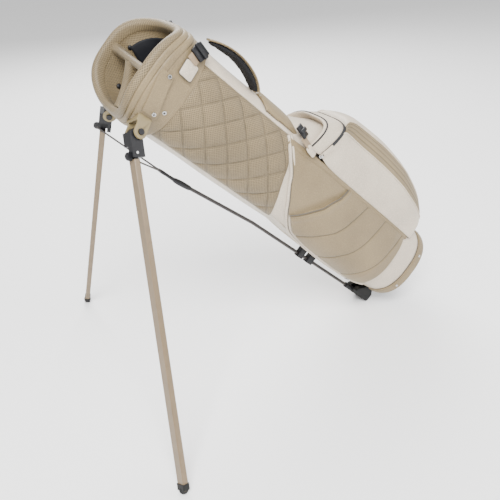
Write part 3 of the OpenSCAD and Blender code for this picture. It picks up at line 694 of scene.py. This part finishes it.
black_tape = moulded("black_coil_tape", (0.018, 0.018, 0.02), 0.7, 1400)
lid_turn = np.linspace(3, 177, 120)
rim_power = np.linspace(4.0, 3.0, len(LID_OUT))
rim = lid_shell(LID_OUT, LID_RISE, LID_HALF, rim_power, lid_turn)
build("lid_rim", rim, *cream_skin, thick=1.4, instead=["valuables_pocket"])
top = lid_shell(PANEL_OUT, PANEL_RISE, PANEL_HALF, np.linspace(3.2, 2.4, len(PANEL_OUT)), lid_turn)
build("lid_panel", top, *cream_skin, thick=1.4)
build("lid_binding", carried(rim[BOUND_EDGE], ball_normals(rim)[BOUND_EDGE], circle(BEAD_RADIUS)),
      black_tape, "zipper_tape", closed=True)
zip_line = lid_shell(np.array([173.4, 173.3]), np.array([-3.0, 7.0]), np.array([92.5, 92.5]),
                     np.array([4.0, 4.0]), lid_turn, 3)
zip_out = -ball_normals(zip_line)[1]
zip_flat = [[-TAPE_HALF, TAPE_RISE], [TAPE_HALF, TAPE_RISE], [TAPE_HALF, TAPE_SINK],
            [-TAPE_HALF, TAPE_SINK]]
build("lid_zipper_tape", carried(zip_line[1], zip_out, zip_flat), black_tape, "zipper_tape",
      closed=True, instead=["valuables_zipper"])
dress(["valuables_pull"], cream_leather, 0.6)

# ---- Cuff and padded mouth ----
# The mouth is a moulded ring covered in plain leatherette with two rolled bands, and a foam roll
# in punched leatherette over its edge, which goes on down the inside as the lining.


def rim_height(angle):
    """Height of the mouth's edge: high at both sides, higher on the far one, low in front and back."""
    a = np.radians(angle)
    return 884 - 19 * np.cos(2 * a) - 11 * np.sin(a) - 3 * np.cos(a)


def mouth(angle, off, height):
    """The tube's section, squarer and tighter by the square of the share of height in the cuff."""
    share = np.clip((height - CUFF_HEM) / (rim_height(angle) - CUFF_HEM), 0, 1) ** 2
    c, s = cos_sin(angle)
    power = CORNER_POWER - 0.16 * share
    x = (BODY_DEPTH + off - 3 * share) * signed(c, power)
    y = -(BODY_WIDTH + off - 2 * share) * signed(s, power)
    return np.stack(np.broadcast_arrays(x, y, height), -1).astype(float)


def swept_ring(profile, count=180):
    """Profile of (off, drop below the mouth's edge) swept right round the mouth."""
    angle = np.linspace(0, 360, count, endpoint=False)
    profile = np.asarray(profile, float)
    points = mouth(angle[:, None], profile[:, 0], rim_height(angle)[:, None] + profile[:, 1])
    around = girth(np.linspace(0, 360, count + 1))[:, None] + 0 * profile[:, 0]
    gone = np.concatenate([[0], np.cumsum(np.linalg.norm(np.diff(profile, axis=0), axis=-1))])
    return points, np.stack([around, gone + 0 * around], -1) / 10


roll_off, roll_drop = smooth_through(40, np.array([-7.4, -9.3, -9.2, -7.8, -3.5, 2, 6.0, 7.6, 7.2, 5.6]),
                                     np.array([-23.5, -20.0, -9, -2.6, 1.6, 1.4, -2.0, -6, -10, -12.5]))
roll, roll_uv = swept_ring(np.stack([roll_off, roll_drop], -1))
mouth_roll = build("mouth_roll", roll, punched_tan, "tan_perforated", around=True, uv=roll_uv, thick=1.4,
                   flip=True, instead=["rim_pad"])

band_off, band_drop = smooth_through(90, np.array([5.4, 7.8, 8.6, 8.2, 6.6, 8.4, 9.2, 8.4, 6.8, 6.9]),
                                     np.array([-11.5, -14, -18, -22.5, -24.5, -27, -32, -37, -39.5, -44.0]))
bands, _ = swept_ring(np.stack([band_off, band_drop], -1))
build("cuff_bands", bands, *tan_skin, around=True, thick=1.4, flip=True, instead=["cuff_shell"])
turn = np.linspace(0, 360, 180, endpoint=False)[:, None]
share = dense_ends(20, 0.05)
cuff_low = CUFF_HEM - 2 + 0 * turn
cuff_height = cuff_low + (rim_height(turn) - 41 - cuff_low) * share
cuff_off = 3.4 + 3.7 * share - 2.2 * (1 - np.clip(share / 0.05, 0, 1)) ** 2
build("cuff_skin", mouth(turn, cuff_off, cuff_height), *tan_skin, around=True, thick=1.2)
hem_turn = np.linspace(0, 360, 400)
for row, rise in (("lower", 4.0), ("upper", 7.5)):
    line = mouth(hem_turn, 4.0, np.full(len(hem_turn), CUFF_HEM + rise))
    stitches("cuff_hem_stitch_" + row, line, outward(hem_turn), tan_thread, "tan_leather", 2.9, 4.4, 0.5)

share = np.linspace(0, 1, 24)
forward = np.clip((np.abs((turn + 180) % 360 - 180) - 80) / 8, 0, 1)
hem = rim_height(turn) - 42 - 44 * forward
lining_height = rim_height(turn) - 16 + (hem - rim_height(turn) + 16) * share
lining_off = -8.9 - 4.1 * np.clip((share - 0.35) / 0.65, 0, 1) ** 1.4
lining_uv = np.stack([girth(np.linspace(0, 360, 181))[:, None] + 0 * share,
                      -np.concatenate([lining_height, lining_height[:1]])], -1) / 10
build("mouth_lining", mouth(turn, lining_off, lining_height), punched_tan, "tan_perforated", around=True,
      uv=lining_uv, thick=1.0)
navy_cloth = moulded("navy_lining", (0.003, 0.0035, 0.006), 0.75, 1500)
LINING_FOOT = 30
depth = hem + 3 + (LINING_FOOT - hem - 3) * np.linspace(0, 1, 60) ** 1.3
folds = 0.8 * np.sin(np.radians(turn) * 9 + depth / 90) - 3.4 * np.clip((hem + 3 - depth) / 14, 0, 1)
build("inner_lining", mouth(turn, -13.4 + folds, depth), navy_cloth, "lining", around=True, thick=0.8)
dress(["body_liner"], navy_cloth, 0)

# ---- Dividers ----
# A full bar and a half bar cross the mouth, foam on a moulded core in punched leatherette. Their
# cloth hangs down between the clubs to the base, and two black screws hold the far end.

BAR_SPOKES, BAR_STEP = 40, 2.6
BAR_CROWN, BAR_DROP = 13, 30
CLOTH_FOOT = 62


def bar(name, start, stop, top_start, top_stop, half_start, half_stop, instead):
    """Padded bar: a tall rounded section carried along a line that sags by half a sine."""
    t = np.linspace(0, 1, 60)
    line = np.outer(1 - t, start) + np.outer(t, stop)
    half = half_start + (half_stop - half_start) * t
    half = half + 3.5 * (np.exp(-(t / 0.08) ** 2) + np.exp(-((1 - t) / 0.08) ** 2))
    top = top_start + (top_stop - top_start) * t - 4 * np.sin(np.pi * t)
    c, s = cos_sin(np.linspace(-90, 270, BAR_SPOKES, endpoint=False))
    across = signed(c, 0.6)
    tall = np.where(s > 0, np.abs(s) ** 0.9 * BAR_CROWN, -np.abs(s) ** 0.5 * BAR_DROP)
    path = np.stack([line[:, 0], line[:, 1], top - BAR_CROWN], -1)
    reach = np.array(stop, float) - start
    side = unit(np.cross([*reach, 0.0], [0, 0, 1.0]))
    grid = path[:, None] + across[None, :, None] * half[:, None, None] * side
    grid[..., 2] += tall
    u = BAR_STEP * np.arange(1, BAR_SPOKES + 2)
    uv = np.stack([np.linspace(0, np.linalg.norm(reach), 60)[:, None] + 0 * u, u + 0 * t[:, None]], -1) / 10
    piece = build(name, grid, punched_tan, "tan_perforated", closed=True, uv=uv, instead=instead)


def curtain(name, start, stop, top):
    """Divider cloth: a flat sheet from its bar to the base, waved sideways by a running sine."""
    t, z = np.linspace(0, 1, 30)[:, None], np.linspace(top, CLOTH_FOOT, 50)
    side = unit(np.array([start[1] - stop[1], stop[0] - start[0]], float))
    wave = 2.0 * np.sin(6 * t + z / 70) * np.sin(np.pi * t)
    x = start[0] + (stop[0] - start[0]) * t + side[0] * wave
    y = start[1] + (stop[1] - start[1]) * t + side[1] * wave
    cloth = build(name, np.stack(np.broadcast_arrays(x, y, z), -1), navy_cloth, "lining", thick=1.0)


bar("full_divider", (5, 84), (-3, -82), 903, 884, 7.0, 7.5, ["divider_bar"])
bar("half_divider_bar", (-5, 3), (-86, -8), 890, 864, 10.5, 8.0, ["half_divider"])
curtain("full_divider_cloth", (3, 76), (-3, -76), 852)
curtain("half_divider_cloth", (-8, 0), (-76, -6), 846)
black_nylon = moulded("black_nylon", (0.005, 0.005, 0.0065))
SCREW_ANGLES, SCREW_HEIGHTS = np.array([-79.0, -121.0]), np.array([872.0, 850.0])
buttons("divider_screw_heads", wall(SCREW_ANGLES, -10.5, SCREW_HEIGHTS), -outward(SCREW_ANGLES), 5.4, 3.6,
        black_nylon, "black_plastic", instead=["divider_screws"])

# ---- Stand ----
# Moulded arms carry the leg brackets out from the cuff. The painted tube legs hang on pins in
# them, and a spring-steel rod down the front ties both to the toe lever under the base.

olive_nylon = moulded("olive_tan_nylon", (0.19, 0.148, 0.072), 0.4, coat=0.1)
leg_paint = moulded("leg_paint", (0.155, 0.111, 0.064), 0.36, 500, 0.2)
rubber = moulded("black_rubber", (0.004, 0.004, 0.004), 0.6, 700)
dark_rod = moulded("dark_coated_steel", (0.03, 0.026, 0.025), 0.38, 700)
dress(["cuff_arm_near", "cuff_arm_far"], tan_leather, 1.6)
dress(["leg_bracket_near", "leg_bracket_far"], olive_nylon, 1.2)
dress(["leg_head_near", "leg_head_far", "rod_guide_upper", "rod_guide_lower", "rod_end", "toe_bracket"],
      black_nylon, 0.9)
dress(["hinge_pins"], black_nylon, 0.5)
dress(["leg_tube_near", "leg_tube_far"], leg_paint, 0)
dress(["leg_tip_near", "leg_tip_far", "toe_lever"], rubber, 1.2)
dress(["actuator_rod", "yoke_wire_near", "yoke_wire_far"], dark_rod, 0)
dress(["leg_rivet_near", "leg_rivet_far", "toe_pin", "cross_pin", "cuff_screws", "valuables_slider",
       "apparel_slider_near", "apparel_slider_far"], bright_steel, 0.3)
sleeve_z = np.array([713.0, 710, 700, 686, 672, 664, 650, 636, 628, 625])
sleeve_wide = np.array([3.6, 5.6, 6.0, 5.0, 4.8, 6.4, 6.8, 6.4, 5.4, 4.2])
sleeve_deep = np.array([2.2, 3.4, 3.8, 3.6, 4.0, 5.6, 6.2, 5.8, 5.2, 4.2])
ROD_LOW, ROD_RUN = -127, 228
YOKE_OUT = -143
sleeve_out = np.maximum(ROD_LOW - 16 * (sleeve_z - 440) / ROD_RUN, YOKE_OUT)
high, wide, deep, out = smooth_through(50, sleeve_z, sleeve_wide, sleeve_deep, sleeve_out)
t = np.linspace(0, 2 * np.pi, 24, endpoint=False)
sleeve = np.stack([out[:, None] + deep[:, None] * np.cos(t), wide[:, None] * np.sin(t),
                   high[:, None] + 0 * t], -1)
build("wire_sleeve", sleeve, black_nylon, "black_plastic", "rod", closed=True,
      instead=["rod_sleeve", "yoke_block"])
drawn_alloy = metal("drawn_alloy", (0.66, 0.66, 0.68), 0.3)
dress(["stay_rods"], drawn_alloy, 0)

# ---- Pads and straps ----
# A hip pad lies on the back. The shoulder strap stands off it in an arch, tan leatherette outside
# and black mesh over foam inside, buckled at both ends; the second one lies over the far flank.

SWELL_FRAMES = 20


def plumped(piece, cap, voxel=0.005, pressure=4.0):
    """Foam pad swelled as cloth by even pressure, frame by frame; no point moves more than cap mm."""
    scene = bpy.context.scene
    remesh = piece.modifiers.new("even_skin", "REMESH")
    remesh.mode, remesh.voxel_size = "VOXEL", voxel
    even = bpy.data.meshes.new_from_object(piece.evaluated_get(bpy.context.evaluated_depsgraph_get()))
    piece.modifiers.clear()
    piece.data = even
    rest = np.zeros(len(even.vertices) * 3)
    even.vertices.foreach_get("co", rest)
    cloth = piece.modifiers.new("swell", "CLOTH")
    cloth.settings.use_pressure, cloth.settings.uniform_pressure_force = True, pressure
    cloth.settings.effector_weights.gravity = 0
    cloth.settings.tension_stiffness = cloth.settings.compression_stiffness = 25
    cloth.point_cache.frame_start, cloth.point_cache.frame_end = 1, SWELL_FRAMES
    for moment in range(1, SWELL_FRAMES + 1):
        scene.frame_set(moment)
    swelled = piece.evaluated_get(bpy.context.evaluated_depsgraph_get()).data
    blown = np.zeros(len(swelled.vertices) * 3)
    swelled.vertices.foreach_get("co", blown)
    piece.modifiers.clear()
    move = (blown - rest).reshape(-1, 3)
    length = np.linalg.norm(move, axis=-1, keepdims=True)
    move *= np.minimum(1.0, cap / 1000 / np.maximum(length, 1e-9))
    even.vertices.foreach_set("co", (rest.reshape(-1, 3) + move).ravel())
    even.shade_smooth()
    scene.frame_set(1)
    rounder = piece.modifiers.new("rounding", "SUBSURF")
    rounder.levels = rounder.render_levels = 1


def cushion(name, angle, low, high, lift, crown, rise, finish, slot, instead):
    """Closed pad on the tube: outer skin lift + crown * rise, inner skin at lift, joined all round."""
    share = dense_ends(26, 0.06)
    height = low + (high - low) * share
    outer = wall(angle, lift + crown * rise(share), height)
    inner = wall(angle, lift - 0.4 * rise(share), height)
    return build(name, np.concatenate([outer, inner[:, -2:0:-1]], axis=1), finish, slot, closed=True,
                 instead=instead)


black_mesh = moulded("black_spacer_mesh", (0.004, 0.004, 0.005), 0.85, 1100)
webbing = leatherette("tan_webbing", (0.30, 0.215, 0.13), 900)
pad_turn = dense_ends(60, 0.05)[:, None]
angle = -40 + 84 * pad_turn
low = 560 - 62 * np.clip(angle / 44, 0, 1) ** 1.5 + 18 * np.clip(-angle / 44, 0, 1)
high = 655 - 30 * np.clip(angle / 44, 0, 1) ** 2 - 20 * np.clip(-angle / 44, 0, 1)
pad = cushion("hip_pad", angle, low, high, 2.4, 7.0,
              lambda v: turned_edge(pad_turn, 0.1) * turned_edge(v, 0.2),
              *tan_skin, ["back_pad"])
plumped(pad, 2.5)

ARCH_POINTS = 90
STRAP_THICK, PAD_THICK = 2.2, 5.2
c, s = cos_sin(np.linspace(39, -56, 24))
out, tall, across = smooth_through(ARCH_POINTS, 64 + 66 * c, 739 + 99 * s, np.full(24, -46.0))
arch = np.stack([out, across, tall], -1)
run = np.gradient(arch, axis=0)
arch_out = unit(np.cross(run, [0.0, 1.0, 0.0]))
arch_side = unit(np.cross(run, arch_out))
arch_share = np.linspace(0, 1, ARCH_POINTS)
strap_half = np.interp(arch_share, [0, 0.12, 0.3, 0.8, 1], [9, 17, 23, 23, 20])
c, s = cos_sin(np.linspace(0, 360, 28, endpoint=False))
flat_oval = np.stack([signed(c, 0.5), s], -1)
cover = (arch[:, None] + flat_oval[None, :, :1] * strap_half[:, None, None] * arch_side[:, None]
         + flat_oval[None, :, 1:] * STRAP_THICK * arch_out[:, None])
build("strap_cover_skin", cover, *tan_skin, "strap", closed=True, instead=["strap_cover"])
sewn_dips = 1 - 0.22 * np.exp(-((arch_share % 0.26 - 0.13) / 0.02) ** 2)
pad_thick = PAD_THICK * np.interp(arch_share, [0, 0.06, 0.2, 0.9, 1], [0.3, 0.8, 1, 1, 0.6]) * sewn_dips
mesh_pad = (arch[:, None] - arch_out[:, None] * (2.0 + pad_thick)[:, None, None]
            + flat_oval[None, :, :1] * (strap_half - 2.5)[:, None, None] * arch_side[:, None]
            + flat_oval[None, :, 1:] * pad_thick[:, None, None] * arch_out[:, None])
strap_foam = build("strap_foam", mesh_pad, black_mesh, "black_mesh", "strap", closed=True,
                   instead=["strap_pad"])
plumped(strap_foam, 1.5, 0.004)

across_strap = np.linspace(0, 1, 30)[:, None]
far_pad = cushion("far_strap_pad", -(43 + 27 * across_strap), 642 + 6 * across_strap,
                  798 - 4 * across_strap, 6.5, 8.0,
                  lambda v: turned_edge(across_strap, 0.25) * turned_edge(v, 0.1),
                  *tan_skin, ["far_strap"])
plumped(far_pad, 2.0)


def rounded(wide, tall, corner, waist=0.0, count=6):
    """Rectangle with quarter-circle corners, two sides drawn in by waist at their middle."""
    t = np.radians(np.linspace(0, 90, count))
    quarter = np.stack([wide - corner + corner * np.cos(t), tall - corner + corner * np.sin(t)], -1)
    return np.concatenate([quarter, [(0, tall - waist)], quarter[::-1] * [-1, 1], quarter * [-1, -1],
                           [(0, waist - tall)], quarter[::-1] * [1, -1]])


def plate(name, centre, angle, tilt, outline, thick, finish, slot, mirror, lift, edge, instead=()):
    """Plate on the tube's tangent: an outline turned by tilt, its two edges drawn in by edge."""
    n = outward(np.array(float(angle)))
    across = np.array([-n[1], n[0], 0.0])
    c, s = cos_sin(tilt)
    right, upright = c * across + s * np.array([0, 0, 1.0]), -s * across + c * np.array([0, 0, 1.0])
    outline = np.asarray(outline, float)
    far = np.linalg.norm(outline, axis=-1, keepdims=True)
    inset, high = np.array([edge, 0, 0, edge]), np.array([0, edge, thick - edge, thick]) + lift
    rings = outline[None] * (1 - inset[:, None, None] / far[None])
    grid = (np.asarray(centre, float) + rings[..., :1] * right + rings[..., 1:] * upright
            + high[:, None, None] * n)
    if mirror:
        grid = grid * np.array([1, -1, 1])
    build(name, grid, finish, slot, closed=True, instead=instead)


cream_thread = moulded("cream_thread", (0.42, 0.37, 0.30), 0.6, 2000)
tab_edge = moulded("dark_tab_edge", (0.05, 0.045, 0.04), 0.6)
black, webbed = (black_nylon, "black_plastic"), (webbing, "webbing")
dark_edge = (tab_edge, "cream_leather")
TAB, TAB_ANGLE = (42, -93.5, 820.5), 71
LOW_BUCKLE = (89, -74, 529)
SCREWS = (("front", 86, 846, 13.1), ("middle", 110, 811, 6.1), ("back", 116, 827, 13.1))
# Each cuff screw's cross recess is drawn as two thin black plates on its head: painted shade in the recess.
RECESS = (("long", rounded(2.6, 0.7, 0.3)), ("cross", rounded(0.7, 2.6, 0.3)))
for side, mirror in (("near", False), ("far", True)):
    top_buckle = (91, -58, 838) if mirror else (79, -78, 816)
    # each row: name, centre, angle, tilt, outline, thickness, finish and slot, lift, edge, CAD node
    for name, centre, angle, tilt, outline, thick, finish, lift, edge, part in (
            ("upper_buckle_", top_buckle, 45, -22, rounded(16.5, 14, 2.5, -1.5), 6, black, 3, 1.0,
             "upper_buckles"),
            ("upper_buckle_bar_", top_buckle, 45, -22, rounded(5.5, 16.5, 2.0), 4.5, black, 8.4, 1.2, ""),
            ("upper_buckle_lip_", top_buckle, 45, -22, rounded(3, 14, 1.5) + [12.5, 0], 3, black, 8.0, 1.0,
             ""),
            ("upper_webbing_", (68, -87, 821), 56, -16, rounded(13, 11, 0.8), 1.8, webbed, 2.4, 0.4, ""),
            ("upper_tab_edge_", TAB, TAB_ANGLE, -3, rounded(16.8, 15.2, 4.5), 1.6, dark_edge, 3.4, 0.4,
             "upper_tabs"),
            ("upper_tab_", TAB, TAB_ANGLE, -3, rounded(15.8, 14.2, 4), 2.4, cream_skin, 3.5, 0.6, ""),
            ("lower_buckle_", LOW_BUCKLE, 38, -28, rounded(13, 15, 2.4, 1.0), 5, black, 6, 0.9,
             "lower_buckles"),
            ("lower_buckle_bar_", LOW_BUCKLE, 38, -28, rounded(14.5, 4.5, 2.0), 4, black, 10.4, 1.1, ""),
            ("lower_webbing_", (77, -84, 512), 48, -22, rounded(9, 13, 1.0), 2.6, webbed, 6.5, 0.6, ""),
            ("lower_tab_", (69, -88, 493), 57, -12, rounded(9.5, 14, 7), 2.6, cream_skin, 8.5, 0.7,
             "lower_tabs")):
        plate(name + side, centre, angle, tilt, outline, thick, *finish, mirror, lift, edge,
              [part] if part and not mirror else ())
    way = np.array([1.0, -1.0 if mirror else 1.0, 1.0])
    out = outward(np.array(float(TAB_ANGLE))) * way
    across = np.array([-out[1], out[0], 0.0]) * way[1]
    centre = np.array(TAB) * way + 6.0 * out
    run = np.linspace(-11, 11, 12)[:, None]
    for mark, slant in (("rising", 1), ("falling", -1)):
        stitches("tab_stitch_%s_%s" % (mark, side), centre + run * (across + [0, 0, 0.85 * slant]),
                 out + 0 * run, cream_thread, "cream_leather", 2.6, 3.4, 0.55)
    # The black recess plates are painted shade in the screws' cross recesses.
    for mark, angle, height, lift in SCREWS:
        for leaf, outline in RECESS:
            plate("screw_%s_%s_%s" % (mark, leaf, side), wall(angle, lift, height), angle, 20, outline, 0.5,
                  black_nylon, "steel", mirror, 0.0, 0.1)

# ---- Floor, light and camera ----
# A plain pale floor under soft light from large panels, seen from the near front of the bag.

REACH = 30
floor_mesh = bpy.data.meshes.new("floor")
floor_mesh.from_pydata([(-REACH, -REACH, 0), (REACH, -REACH, 0), (REACH, REACH, 0), (-REACH, REACH, 0)], [],
                       [(0, 1, 2, 3)])
floor = bpy.data.objects.new("floor", floor_mesh)
bpy.context.scene.collection.objects.link(floor)
pale, _, _ = blank("pale_floor", Base_Color=(0.94, 0.94, 0.94, 1), Roughness=0.9)
floor_mesh.materials.append(pale)


def soft_panel(name, place, aim, size, power):
    """Square area light of a size in metres, turned to face a point."""
    light = bpy.data.lights.new(name, "AREA")
    light.size, light.energy = size, power
    lamp = bpy.data.objects.new(name, light)
    away = unit(np.array(place, float) - np.array(aim, float))
    right = unit(np.cross([0.0, 0.0, 1.0], away))
    up = np.cross(away, right)
    lamp.matrix_world = Matrix([(*row, shift) for row, shift in zip(np.stack([right, up, away], -1), place)]
                               + [(0, 0, 0, 1)])
    bpy.context.scene.collection.objects.link(lamp)


soft_panel("key", (-1.2, -2.2, 3.2), (0, 0, 0.4), 2.2, 330)
soft_panel("fill", (2.6, -1.6, 1.8), (0, 0, 0.4), 2.4, 60)
soft_panel("back", (0.6, 2.8, 2.8), (0, 0, 0.4), 2.4, 200)
world = bpy.data.worlds.new("studio")
world.use_nodes = True
world.node_tree.nodes["Background"].inputs["Color"].default_value = (1, 1, 1, 1)
world.node_tree.nodes["Background"].inputs["Strength"].default_value = 0.85
bpy.context.scene.world = world

YAW, PITCH, ROLL = 0.443, 0.500, -0.053
EYE = (BASE_CENTRE[0] - 0.95845, -1.14424, 0.93524)
ahead = np.array([np.sin(YAW) * np.cos(PITCH), np.cos(YAW) * np.cos(PITCH), -np.sin(PITCH)])
level = np.array([np.cos(YAW), -np.sin(YAW), 0.0])
above = np.cross(level, ahead)
right = np.cos(ROLL) * level + np.sin(ROLL) * above
upward = -np.sin(ROLL) * level + np.cos(ROLL) * above
lens = bpy.data.cameras.new("camera")
lens.lens, lens.sensor_width = 43.85, 36.0
camera = bpy.data.objects.new("camera", lens)
camera.matrix_world = Matrix([(*row, shift) for row, shift in zip(np.stack([right, upward, -ahead], -1), EYE)]
                             + [(0, 0, 0, 1)])
bpy.context.scene.collection.objects.link(camera)
bpy.context.scene.camera = camera
